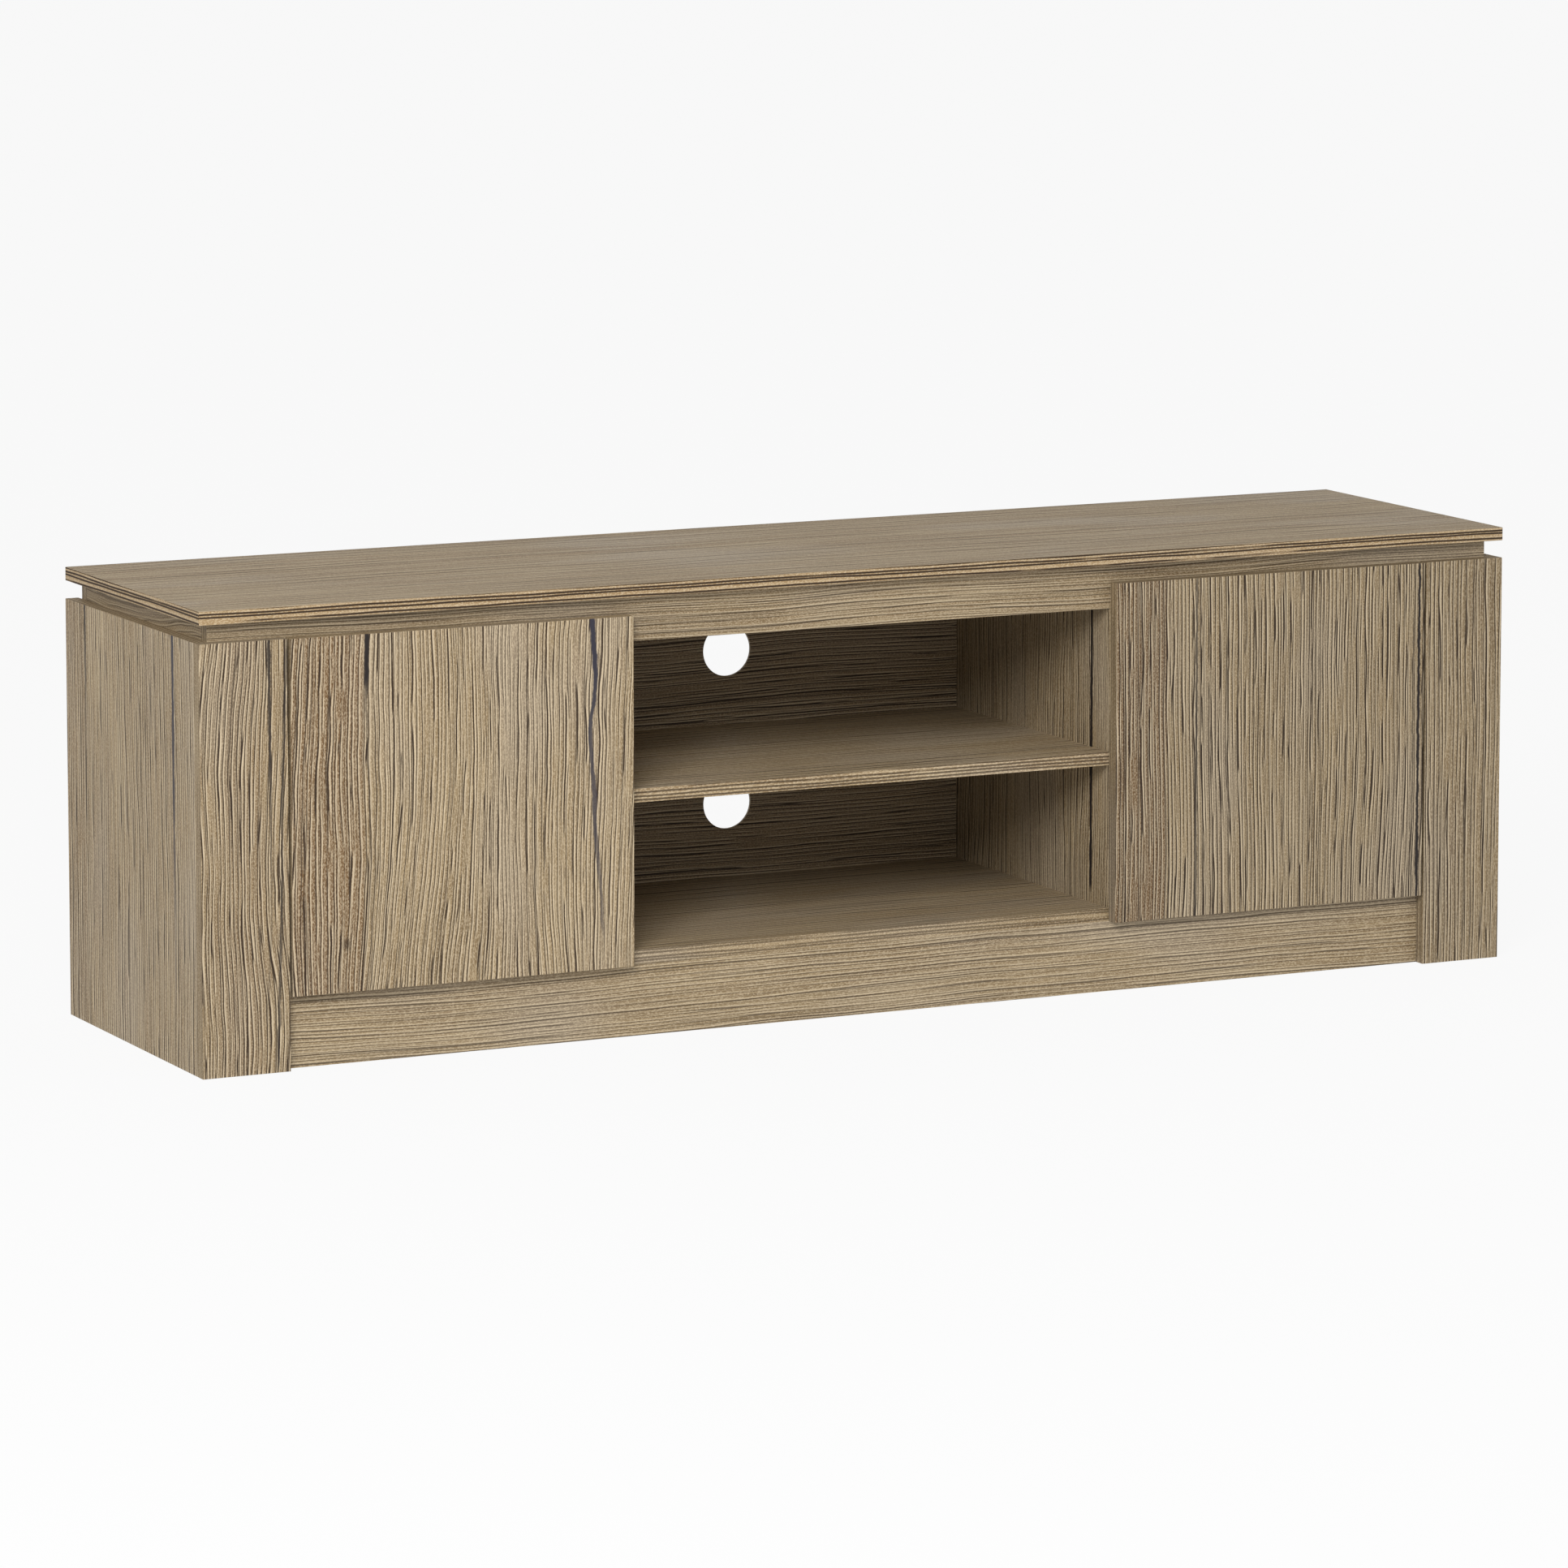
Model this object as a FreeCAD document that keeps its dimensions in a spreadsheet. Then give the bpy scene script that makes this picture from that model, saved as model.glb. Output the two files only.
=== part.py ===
"""Low two-door media cabinet with an open centre bay, as a parametric document.

Frame: origin at the middle of the footprint on the floor, +X to the right along
the width, +Y from the front to the back, +Z up. Millimetres.
Only left-hand pieces are drawn. Right-hand pieces are their mirror images.
"""
import os

import FreeCAD
import Part
import Sketcher

Vector = FreeCAD.Vector
X = Vector(1, 0, 0)
Y = Vector(0, 1, 0)
Z = Vector(0, 0, 1)
doc = FreeCAD.newDocument("media_cabinet")

# ---------------------------------------------------------------- driving sizes
SIZES = [
    ("width", 1600), ("depth", 400), ("height", 500),
    ("board", 15),                  # thickness of every structural board
    ("edge_round", 0.8),            # eased arrises of the top and the doors
    ("shadow_gap", 20),             # recessed band between the top and the doors
    ("rail_height", 50),            # rails of the top frame, band included
    ("plinth_height", 80),
    ("stile_width", 100),
    ("door_width", 400),
    ("door_gap", 3),                # between a door and the stile beside it
    ("buffer_gap", 1),              # between a closed door and the carcass
    ("buffer_radius", 4), ("buffer_inset", 12), ("buffer_thick", 0.9),
    ("back_board", 3),              # hardboard back
    ("back_inset", 9),              # back panels stand in from the rear edges
    ("groove_depth", 6),
    ("cable_hole_radius", 30),
    ("cable_hole_rise", 4.5),       # holes sit above the middle of each bay
    ("hole_overrun", 1),            # a through tool passes each face by this much
    ("post_depth", 80),             # board behind the stile that carries the hinges
    ("side_shelf_setback", 90), ("shelf_play", 1),
    ("pin_radius", 2.5), ("pin_depth", 9), ("pin_tab", 8), ("pin_tab_thick", 3),
    ("pin_pitch", 32), ("pin_front", 50), ("pin_rear", 60),
    ("dowel_radius", 4), ("dowel_length", 30), ("dowel_bite", 10),
    ("fit_play", 0.05),             # radial play of a glued or clamped fastener
    ("dowel_setback", 45),          # dowels and cams from a board's front and rear
    ("cam_inset", 110),
    ("brace_dowel", 25), ("end_rail_dowel", 100),
    ("stile_dowel_drop", 40), ("post_dowel_inset", 20),
    ("rail_dowel_outer", 160), ("rail_dowel_inner", 120),
    ("cam_radius", 7.5), ("cam_depth", 12), ("cam_setback", 34),
    ("bolt_radius", 3), ("bolt_bite", 10), ("bolt_head_radius", 3.5), ("bolt_head", 5),
    ("cam_slot", 2), ("cam_slot_depth", 3),
    ("tack_radius", 1.2), ("tack_length", 16), ("tack_head_radius", 3.5), ("tack_head", 1.2),
    ("tack_inset", 90), ("tack_offset", 4),
    ("hinge_inset", 70),            # hinge centre from the door's end
    ("plate_screw_pitch", 32),
    ("cup_radius", 17.5), ("cup_depth", 11.5), ("cup_wall", 0.8), ("cup_edge", 4),
    ("flange_wide", 16), ("flange_tall", 54), ("flange_thick", 0.8), ("flange_rim", 1.5),
    ("hinge_screw_pitch", 42), ("hinge_screw_radius", 1.8), ("hinge_screw_length", 11),
    ("hinge_screw_head_radius", 3.4), ("hinge_screw_head", 1.8),
    ("plate_thick", 4), ("plate_setback", 25), ("plate_long", 36), ("plate_tall", 18),
    ("wing_tall", 50), ("wing_long", 14), ("wing_thick", 2), ("wing_start", 11),
    ("arm_wall", 1.4), ("arm_tall", 15), ("arm_body", 11), ("arm_long", 47),
    ("nose_low", 26), ("nose_high", 34), ("nose_tip", 10), ("nose_root", 24),
    ("adjuster_radius", 3), ("adjuster_thick", 1.6),
    ("adjuster_front", 10), ("adjuster_rear", 14),
]
POST_DOWEL_SHARES = (0.25, 0.75)    # of the clear height inside
TACK_SHARES = (0.2, 0.5, 0.8)
PIN_STEPS = (-1, 0, 1)
sheet = doc.addObject("Spreadsheet::Sheet", "Sizes")
for row, (alias, value) in enumerate(SIZES, start=1):
    sheet.set(f"A{row}", alias)
    sheet.set(f"B{row}", str(value))
    sheet.setAlias(f"B{row}", alias)
doc.recompute()


def size(alias):
    """Expression text of one driving size."""
    return f"Sizes.{alias}"


def add(*terms):
    return "(" + " + ".join(str(term) for term in terms) + ")"


def less(first, *terms):
    return "(" + " - ".join([str(first)] + [str(term) for term in terms]) + ")"


def half(term):
    return f"({term} / 2)"


def flip(term):
    return f"(-1 * {term})"


BOARD = size("board")

# Planes of the cabinet, each worked out from the driving sizes.
LEFT = flip(half(size("width")))
FRONT = flip(half(size("depth")))
REAR = half(size("depth"))
TOP = size("height")
CARCASS_FRONT = add(FRONT, BOARD, size("buffer_gap"))
STILE_FRONT = less(CARCASS_FRONT, BOARD)
RAIL_BACK = add(CARCASS_FRONT, BOARD)
BACK_REAR = less(REAR, size("back_inset"))
BACK_FACE = less(BACK_REAR, size("back_board"))
REAR_RAIL_FRONT = less(BACK_FACE, BOARD)
TOP_UNDER = less(TOP, BOARD)
SIDE_TOP = less(TOP_UNDER, size("shadow_gap"))
RAIL_UNDER = less(TOP_UNDER, size("rail_height"))
BOTTOM_UNDER = size("plinth_height")
BOTTOM_TOP = add(BOTTOM_UNDER, BOARD)
SIDE_INNER = add(LEFT, BOARD)
STILE_INNER = add(LEFT, size("stile_width"))
DOOR_OUTER = add(STILE_INNER, size("door_gap"))
DOOR_INNER = add(DOOR_OUTER, size("door_width"))
DIVIDER_INNER = DOOR_INNER
DIVIDER_OUTER = less(DIVIDER_INNER, BOARD)
DIVIDER_MIDDLE = less(DIVIDER_INNER, half(BOARD))
SHELF_MIDDLE = half(add(BOTTOM_TOP, RAIL_UNDER))
SHELF_UNDER = less(SHELF_MIDDLE, half(BOARD))
SHELF_TOP = add(SHELF_MIDDLE, half(BOARD))

parts = []


def part(obj, label):
    """Register a finished sub-part under the name of its file."""
    obj.Label = label
    parts.append(obj)


def bind(obj, **bindings):
    for name, expression in bindings.items():
        obj.setExpression(name, expression)


def place(obj, x, y, z):
    """Bind the three coordinates of a placement to expressions."""
    obj.setExpression("Placement.Base.x", str(x))
    obj.setExpression("Placement.Base.y", str(y))
    obj.setExpression("Placement.Base.z", str(z))
    return obj


def block(name, low, high):
    """A board between two corners given as expressions."""
    obj = doc.addObject("Part::Box", name)
    bind(obj, Length=less(high[0], low[0]), Width=less(high[1], low[1]),
         Height=less(high[2], low[2]))
    return place(obj, *low)


def rod(name, radius, length, start, direction):
    """A cylinder from a start point along a direction."""
    obj = doc.addObject("Part::Cylinder", name)
    bind(obj, Radius=str(radius), Height=str(length))
    obj.Placement = FreeCAD.Placement(Vector(), FreeCAD.Rotation(Vector(0, 0, 1), direction))
    return place(obj, *start)


def group(name, links):
    """Several separate solids held as one object."""
    obj = doc.addObject("Part::Compound", name)
    obj.Links = links
    return obj


def cut(name, base, tool):
    obj = doc.addObject("Part::Cut", name)
    obj.Base = base
    obj.Tool = tool
    return obj


def fuse(name, shapes):
    obj = doc.addObject("Part::MultiFuse", name)
    obj.Shapes = shapes
    obj.Refine = True
    return obj


def mirror(name, source):
    """The right-hand copy of a left-hand object."""
    obj = doc.addObject("Part::Mirroring", name)
    obj.Source = source
    obj.Normal = Vector(1, 0, 0)
    return obj


def pair(label, source):
    """Name a left-hand piece and make its right-hand twin."""
    part(source, f"{label}_left")
    part(mirror(f"{label}_right_copy", source), f"{label}_right")


def outline_body(name, points, thickness, plane="XY_Plane"):
    """A Body whose sketch is a closed outline of expression pairs, padded."""
    body = doc.addObject("PartDesign::Body", name)
    sketch = body.newObject("Sketcher::SketchObject", f"{name}_outline")
    origin_plane = [item for item in body.Origin.OriginFeatures if item.Role == plane][0]
    sketch.AttachmentSupport = [(origin_plane, "")]
    sketch.MapMode = "FlatFace"
    numbers = [tuple(value_of(term) for term in point) for point in points]
    count = len(points)
    for index in range(count):
        start = Vector(*numbers[index], 0)
        end = Vector(*numbers[(index + 1) % count], 0)
        sketch.addGeometry(Part.LineSegment(start, end), False)
    for index in range(count):
        sketch.addConstraint(Sketcher.Constraint("Coincident", index, 2, (index + 1) % count, 1))
    for index, point in enumerate(points):
        for kind, term, number in zip(("DistanceX", "DistanceY"), point, numbers[index]):
            constraint = sketch.addConstraint(
                Sketcher.Constraint(kind, -1, 1, index, 1, float(number)))
            sketch.setExpression(f"Constraints[{constraint}]", str(term))
    pad = body.newObject("PartDesign::Pad", f"{name}_pad")
    pad.Profile = sketch
    pad.setExpression("Length", str(thickness))
    return body, pad


def value_of(expression):
    """The present number of an expression, from the sheet."""
    return float(sheet.evalExpression(str(expression)))


def ease(body, pad, name):
    """Round every arris of a padded board a little."""
    doc.recompute()
    fillet = body.newObject("PartDesign::Fillet", f"{name}_eased")
    fillet.Base = (pad, [])
    fillet.UseAllEdges = True
    fillet.setExpression("Radius", size("edge_round"))



# ------------------------------------------------------------ fasteners: makers
dowels = []
dowel_holes = {}
AXES = {"x": X, "y": Y, "z": Z}


def step_back(point, axis, distance):
    """Move a point of expressions against one of the axes."""
    return tuple(less(term, distance) if key == axis else term
                 for key, term in zip("xyz", point))


def dowel(joint, index, joint_plane, axis, sense=1):
    """A beech dowel across a joint, bitten into the thinner board."""
    bite = size("dowel_bite")
    back = bite if sense > 0 else less(size("dowel_length"), bite)
    start = step_back(joint_plane, axis, back)
    name = f"dowel_{joint}_{index}"
    dowels.append(rod(name, size("dowel_radius"), size("dowel_length"), start, AXES[axis]))
    hole = rod(f"{name}_hole", add(size("dowel_radius"), size("fit_play")),
               size("dowel_length"), start, AXES[axis])
    dowel_holes.setdefault(joint, []).append(hole)


cams = []
cam_bolts = []
cam_holes = {}


def cam_fitting(joint, index, joint_plane, axis, sense, mouth_axis, mouth_plane, mouth_sense):
    """A bolt in one board and the cam disc that draws it into the other.

    joint_plane is the bolt's point on the joint, mouth_plane the coordinate of
    the face where the disc shows.
    """
    name = f"cam_{joint}_{index}"
    toward = AXES[axis] * sense
    outward = AXES[mouth_axis] * mouth_sense
    reach = less(size("cam_setback"), half(size("bolt_head")))

    def along(distance):
        moved = add if sense > 0 else less
        return tuple(moved(term, distance) if key == axis else term
                     for key, term in zip("xyz", joint_plane))

    tip = along(flip(size("bolt_bite")))
    shank = rod(f"{name}_shank", size("bolt_radius"), add(size("bolt_bite"), reach), tip, toward)
    head = rod(f"{name}_head", size("bolt_head_radius"), size("bolt_head"), along(reach), toward)
    cam_bolts.append(fuse(f"{name}_bolt", [shank, head]))
    bore_radius = add(size("bolt_head_radius"), size("fit_play"))
    bore_length = add(size("cam_setback"), size("bolt_head"))
    bore = rod(f"{name}_bore", bore_radius, bore_length, along(0), toward)
    thread = rod(f"{name}_thread", add(size("bolt_radius"), size("fit_play")),
                 size("bolt_bite"), tip, toward)
    centre = along(size("cam_setback"))
    sunk = less if mouth_sense > 0 else add
    seat = tuple(sunk(mouth_plane, size("cam_depth")) if key == mouth_axis else term
                 for key, term in zip("xyz", centre))
    blank = rod(f"{name}_disc_blank", size("cam_radius"), size("cam_depth"), seat, outward)
    pocket = rod(f"{name}_pocket", add(size("cam_radius"), size("fit_play")),
                 size("cam_depth"), seat, outward)
    slot_floor = tuple(sunk(mouth_plane, size("cam_slot_depth")) if key == mouth_axis else term
                       for key, term in zip("xyz", centre))
    slot = doc.addObject("Part::Box", f"{name}_slot")
    others = [key for key in "xyz" if key != mouth_axis]
    spans = {mouth_axis: size("cam_slot_depth"), others[0]: size("cam_slot"),
             others[1]: f"(2 * {size('cam_radius')})"}
    low = []
    for key, term in zip("xyz", slot_floor):
        if key == mouth_axis:
            low.append(term if mouth_sense > 0 else less(term, spans[key]))
        else:
            low.append(less(term, half(spans[key])))
    bind(slot, Length=spans["x"], Width=spans["y"], Height=spans["z"])
    place(slot, *low)
    cams.append(cut(f"{name}_disc", blank, group(f"{name}_disc_cuts", [bore, slot])))
    cam_holes.setdefault(joint, []).extend([bore, thread, pocket])


def holes(name, *joints):
    """All the bores of some joints as one cutting tool."""
    tools = []
    for joint in joints:
        tools.extend(dowel_holes.get(joint, []))
        tools.extend(cam_holes.get(joint, []))
    return group(f"{name}_bores", tools)


# ----------------------------------------------------- fasteners: where they go
SIDE_EDGE_MIDDLE = add(LEFT, half(BOARD))
POST_LEFT = less(STILE_INNER, BOARD)
POST_MIDDLE = less(STILE_INNER, half(BOARD))
POST_REAR = add(CARCASS_FRONT, size("post_depth"))
FRONT_RAIL_MIDDLE = add(CARCASS_FRONT, half(BOARD))
REAR_RAIL_MIDDLE = add(REAR_RAIL_FRONT, half(BOARD))
BOTTOM_MIDDLE = less(BOTTOM_TOP, half(BOARD))
NEAR_FRONT = add(CARCASS_FRONT, size("dowel_setback"))
NEAR_REAR = less(BACK_FACE, size("dowel_setback"))
CAM_FRONT = add(CARCASS_FRONT, size("cam_inset"))
CAM_REAR = less(BACK_FACE, size("cam_inset"))
PLINTH_MIDDLE = half(size("plinth_height"))
CLEAR_HEIGHT = less(RAIL_UNDER, BOTTOM_TOP)

for index, y in enumerate((NEAR_FRONT, NEAR_REAR)):
    dowel("side_bottom", index, (SIDE_INNER, y, BOTTOM_MIDDLE), "x")
    dowel("divider_bottom", index, (DIVIDER_MIDDLE, y, BOTTOM_TOP), "z")
    dowel("divider_top", index, (DIVIDER_MIDDLE, y, TOP_UNDER), "z", -1)
    dowel("shelf", index, (DIVIDER_INNER, y, SHELF_MIDDLE), "x")
for index, y in enumerate((CAM_FRONT, CAM_REAR)):
    cam_fitting("side_bottom", index, (SIDE_INNER, y, BOTTOM_MIDDLE), "x", 1,
                "z", BOTTOM_UNDER, -1)
    cam_fitting("divider_top", index, (DIVIDER_MIDDLE, y, TOP_UNDER), "z", -1,
                "x", DIVIDER_OUTER, -1)
    cam_fitting("divider_bottom", index, (DIVIDER_MIDDLE, y, BOTTOM_TOP), "z", 1,
                "x", DIVIDER_OUTER, -1)
    cam_fitting("shelf", index, (DIVIDER_INNER, y, SHELF_MIDDLE), "x", 1,
                "z", SHELF_UNDER, -1)
for index, z in enumerate((half(PLINTH_MIDDLE), half(add(BOTTOM_TOP, SIDE_TOP)),
                           less(SIDE_TOP, size("stile_dowel_drop")))):
    dowel("stile_side", index, (SIDE_EDGE_MIDDLE, CARCASS_FRONT, z), "y")
for index, share in enumerate(POST_DOWEL_SHARES):
    height = add(BOTTOM_TOP, f"{share} * {CLEAR_HEIGHT}")
    dowel("stile_post", index, (POST_MIDDLE, CARCASS_FRONT, height), "y")
for index, y in enumerate((add(CARCASS_FRONT, size("post_dowel_inset")),
                           less(POST_REAR, size("post_dowel_inset")))):
    dowel("post_bottom", index, (POST_MIDDLE, y, BOTTOM_TOP), "z")
dowel("post_rail", 0, (POST_MIDDLE, FRONT_RAIL_MIDDLE, RAIL_UNDER), "z", -1)
for name, y in (("plinth_front", FRONT_RAIL_MIDDLE), ("plinth_rear", REAR_RAIL_MIDDLE)):
    dowel(name, 0, (SIDE_INNER, y, PLINTH_MIDDLE), "x")
for index, y in enumerate((flip(size("brace_dowel")), size("brace_dowel"))):
    dowel("brace_bottom", index, (DIVIDER_MIDDLE, y, BOTTOM_UNDER), "z", -1)
for index, y in enumerate((flip(size("end_rail_dowel")), size("end_rail_dowel"))):
    dowel("end_rail", index, (add(SIDE_INNER, half(BOARD)), y, TOP_UNDER), "z", -1)
for name, y in (("rail_front", FRONT_RAIL_MIDDLE), ("rail_rear", REAR_RAIL_MIDDLE)):
    for index, x in enumerate((add(SIDE_INNER, size("rail_dowel_outer")),
                               add(DIVIDER_INNER, size("rail_dowel_inner")))):
        dowel(name, index, (x, y, TOP_UNDER), "z", -1)

# Tacks that hold the back panels on the rails, the bottom and the dividers.
tacks = []
tack_bores = []
tack_places = []
for z in (BOTTOM_MIDDLE, less(SIDE_TOP, half(BOARD))):
    for x in (add(SIDE_INNER, size("tack_inset")), half(add(SIDE_INNER, DIVIDER_OUTER)),
              less(DIVIDER_OUTER, size("tack_inset")), add(DIVIDER_INNER, size("tack_inset"))):
        tack_places.append((x, z))
for share in TACK_SHARES:
    z = add(BOTTOM_TOP, f"{share} * {CLEAR_HEIGHT}")
    for x in (less(DIVIDER_MIDDLE, size("tack_offset")),
              add(DIVIDER_MIDDLE, size("tack_offset"))):
        tack_places.append((x, z))
for index, (x, z) in enumerate(tack_places):
    tip = (x, less(BACK_REAR, size("tack_length")), z)
    shank = rod(f"tack_{index}_shank", size("tack_radius"), size("tack_length"), tip, Y)
    head = rod(f"tack_{index}_head", size("tack_head_radius"), size("tack_head"),
               (x, BACK_REAR, z), Y)
    tacks.append(fuse(f"tack_{index}", [shank, head]))
    tack_bores.append(rod(f"tack_{index}_bore", size("tack_radius"), size("tack_length"), tip, Y))
left_tack_bores = group("tack_bores", tack_bores)
right_tack_bores = mirror("tack_bores_right", left_tack_bores)
doc.recompute()

# ------------------------------------------------------------------ outer boards
top_body, top_pad = outline_body(
    "top_board", [(LEFT, FRONT), (flip(LEFT), FRONT), (flip(LEFT), REAR), (LEFT, REAR)], BOARD)
ease(top_body, top_pad, "top_board")
place(top_body, 0, 0, TOP_UNDER)
left_top_bores = holes("top", "divider_top", "rail_front", "rail_rear", "end_rail")
top_bores = group("top_all_bores", [left_top_bores, mirror("top_right_bores", left_top_bores)])
part(cut("top_cut", top_body, top_bores), "top_panel")

side = block("side_board", (LEFT, CARCASS_FRONT, 0), (SIDE_INNER, REAR, SIDE_TOP))
back_groove = block("side_groove", (less(SIDE_INNER, size("groove_depth")), BACK_FACE, 0),
                    (SIDE_INNER, BACK_REAR, SIDE_TOP))
PIN_ROWS = [add(SHELF_UNDER, f"{step} * {size('pin_pitch')}") for step in PIN_STEPS]
PIN_FRONT = add(POST_REAR, size("pin_front"))
PIN_REAR = less(BACK_FACE, size("pin_rear"))


def pin_bores(name, face, direction, sign):
    """The rows of blind shelf-pin bores of one board."""
    bores = []
    for y_index, y in enumerate((PIN_FRONT, PIN_REAR)):
        for z_index, z in enumerate(PIN_ROWS):
            centre = less(z, half(size("pin_tab_thick")))
            start = (less(face, size("pin_depth")), y, centre)
            if sign < 0:
                start = (face, y, centre)
            bores.append(rod(f"{name}_pin_bore_{y_index}_{z_index}",
                             add(size("pin_radius"), size("fit_play")),
                             size("pin_depth"), start, direction))
    return group(f"{name}_pin_bores", bores)


side_tools = group("side_cuts", [
    back_groove, holes("side", "side_bottom", "stile_side", "plinth_front", "plinth_rear"),
    pin_bores("side", SIDE_INNER, X, 1)])
pair("side_panel", cut("side_cut", side, side_tools))

stile = block("stile_board", (LEFT, STILE_FRONT, 0), (STILE_INNER, CARCASS_FRONT, SIDE_TOP))
pair("front_stile", cut("stile_cut", stile, holes("stile", "stile_side", "stile_post")))

bottom = block("bottom_board", (SIDE_INNER, CARCASS_FRONT, BOTTOM_UNDER),
               (flip(SIDE_INNER), BACK_FACE, BOTTOM_TOP))
left_bottom_bores = holes("bottom", "side_bottom", "divider_bottom", "post_bottom",
                          "brace_bottom")
bottom_bores = group("bottom_all_bores", [
    left_bottom_bores, mirror("bottom_right_bores", left_bottom_bores),
    left_tack_bores, right_tack_bores])
part(cut("bottom_cut", bottom, bottom_bores), "bottom_panel")


def crossing(name, label, y_low, y_high, z_low, z_high, *joints):
    """A board from side to side, bored alike at both ends."""
    board = block(f"{name}_board", (SIDE_INNER, y_low, z_low), (flip(SIDE_INNER), y_high, z_high))
    left_bores = holes(name, *joints)
    tools = group(f"{name}_all_bores", [
        left_bores, mirror(f"{name}_right_bores", left_bores), left_tack_bores, right_tack_bores])
    part(cut(f"{name}_cut", board, tools), label)


crossing("plinth_front", "plinth_front", CARCASS_FRONT, RAIL_BACK, 0, BOTTOM_UNDER,
         "plinth_front")
crossing("plinth_rear", "plinth_rear", REAR_RAIL_FRONT, BACK_FACE, 0, BOTTOM_UNDER,
         "plinth_rear")
crossing("rail_front", "front_rail", CARCASS_FRONT, RAIL_BACK, RAIL_UNDER, TOP_UNDER,
         "rail_front", "post_rail")
crossing("rail_rear", "rear_rail", REAR_RAIL_FRONT, BACK_FACE, RAIL_UNDER, TOP_UNDER,
         "rail_rear")
end_rail = block("end_rail_board", (SIDE_INNER, RAIL_BACK, RAIL_UNDER),
                 (add(SIDE_INNER, BOARD), REAR_RAIL_FRONT, TOP_UNDER))
pair("end_rail", cut("end_rail_cut", end_rail, holes("end_rail", "end_rail")))
brace = block("brace_board", (DIVIDER_OUTER, RAIL_BACK, 0),
              (DIVIDER_INNER, REAR_RAIL_FRONT, BOTTOM_UNDER))
pair("plinth_brace", cut("brace_cut", brace, holes("brace", "brace_bottom")))

# Dividers: notched at both top corners for the rails.
divider_body, _ = outline_body("divider_board", [
    (CARCASS_FRONT, BOTTOM_TOP), (BACK_FACE, BOTTOM_TOP), (BACK_FACE, RAIL_UNDER),
    (REAR_RAIL_FRONT, RAIL_UNDER), (REAR_RAIL_FRONT, TOP_UNDER), (RAIL_BACK, TOP_UNDER),
    (RAIL_BACK, RAIL_UNDER), (CARCASS_FRONT, RAIL_UNDER)], BOARD, "YZ_Plane")
place(divider_body, DIVIDER_OUTER, 0, 0)
divider_tools = group("divider_cuts", [
    holes("divider", "divider_bottom", "divider_top", "shelf"), left_tack_bores,
    pin_bores("divider", DIVIDER_OUTER, X, -1)])
pair("divider", cut("divider_cut", divider_body, divider_tools))

# ----------------------------------------------------------------------- shelves
shelf = block("shelf_board", (DIVIDER_INNER, CARCASS_FRONT, SHELF_UNDER),
              (flip(DIVIDER_INNER), BACK_FACE, SHELF_TOP))
left_shelf_bores = holes("shelf", "shelf")
shelf_bores = group("shelf_all_bores",
                    [left_shelf_bores, mirror("shelf_right_bores", left_shelf_bores)])
part(cut("shelf_cut", shelf, shelf_bores), "centre_shelf")

side_shelf_body, side_shelf_pad = outline_body("side_shelf_board", [
    (add(SIDE_INNER, size("shelf_play")), add(CARCASS_FRONT, size("side_shelf_setback"))),
    (less(DIVIDER_OUTER, size("shelf_play")), add(CARCASS_FRONT, size("side_shelf_setback"))),
    (less(DIVIDER_OUTER, size("shelf_play")), less(BACK_FACE, size("shelf_play"))),
    (add(SIDE_INNER, size("shelf_play")), less(BACK_FACE, size("shelf_play")))], BOARD)
ease(side_shelf_body, side_shelf_pad, "side_shelf_board")
place(side_shelf_body, 0, 0, SHELF_UNDER)
pair("side_shelf", side_shelf_body)

shelf_pins = []
for index, y in enumerate((PIN_FRONT, PIN_REAR)):
    level = less(SHELF_UNDER, size("pin_tab_thick"))
    middle = less(SHELF_UNDER, half(size("pin_tab_thick")))
    for name, face, inward in (("side", SIDE_INNER, 1), ("divider", DIVIDER_OUTER, -1)):
        tab_low = face if inward > 0 else less(face, size("pin_tab"))
        tab_high = add(face, size("pin_tab")) if inward > 0 else face
        peg_start = less(face, size("pin_depth")) if inward > 0 else face
        peg = rod(f"pin_{name}_{index}_peg", size("pin_radius"), size("pin_depth"),
                  (peg_start, y, middle), X)
        tab = block(f"pin_{name}_{index}_tab",
                    (tab_low, less(y, half(size("pin_tab"))), level),
                    (tab_high, add(y, half(size("pin_tab"))), SHELF_UNDER))
        shelf_pins.append(fuse(f"pin_{name}_{index}", [peg, tab]))
pair("shelf_pins", group("shelf_pins_group", shelf_pins))

# ------------------------------------------------------------------- back panels
centre_back = block("centre_back_board", (DIVIDER_MIDDLE, BACK_FACE, BOTTOM_UNDER),
                    (flip(DIVIDER_MIDDLE), BACK_REAR, SIDE_TOP))
cable_holes = []
for name, low, high in (("lower", BOTTOM_TOP, SHELF_UNDER), ("upper", SHELF_TOP, RAIL_UNDER)):
    centre = add(half(add(low, high)), size("cable_hole_rise"))
    cable_holes.append(rod(f"cable_hole_{name}", size("cable_hole_radius"),
                           add(size("back_board"), size("hole_overrun"), size("hole_overrun")),
                           (0, less(BACK_FACE, size("hole_overrun")), centre), Y))
centre_tools = group("centre_back_cuts", cable_holes + [left_tack_bores, right_tack_bores])
part(cut("centre_back_cut", centre_back, centre_tools), "back_panel_centre")
outer_back = block("outer_back_board",
                   (less(SIDE_INNER, size("groove_depth")), BACK_FACE, BOTTOM_UNDER),
                   (DIVIDER_MIDDLE, BACK_REAR, SIDE_TOP))
pair("back_panel", cut("outer_back_cut", outer_back, left_tack_bores))

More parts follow.
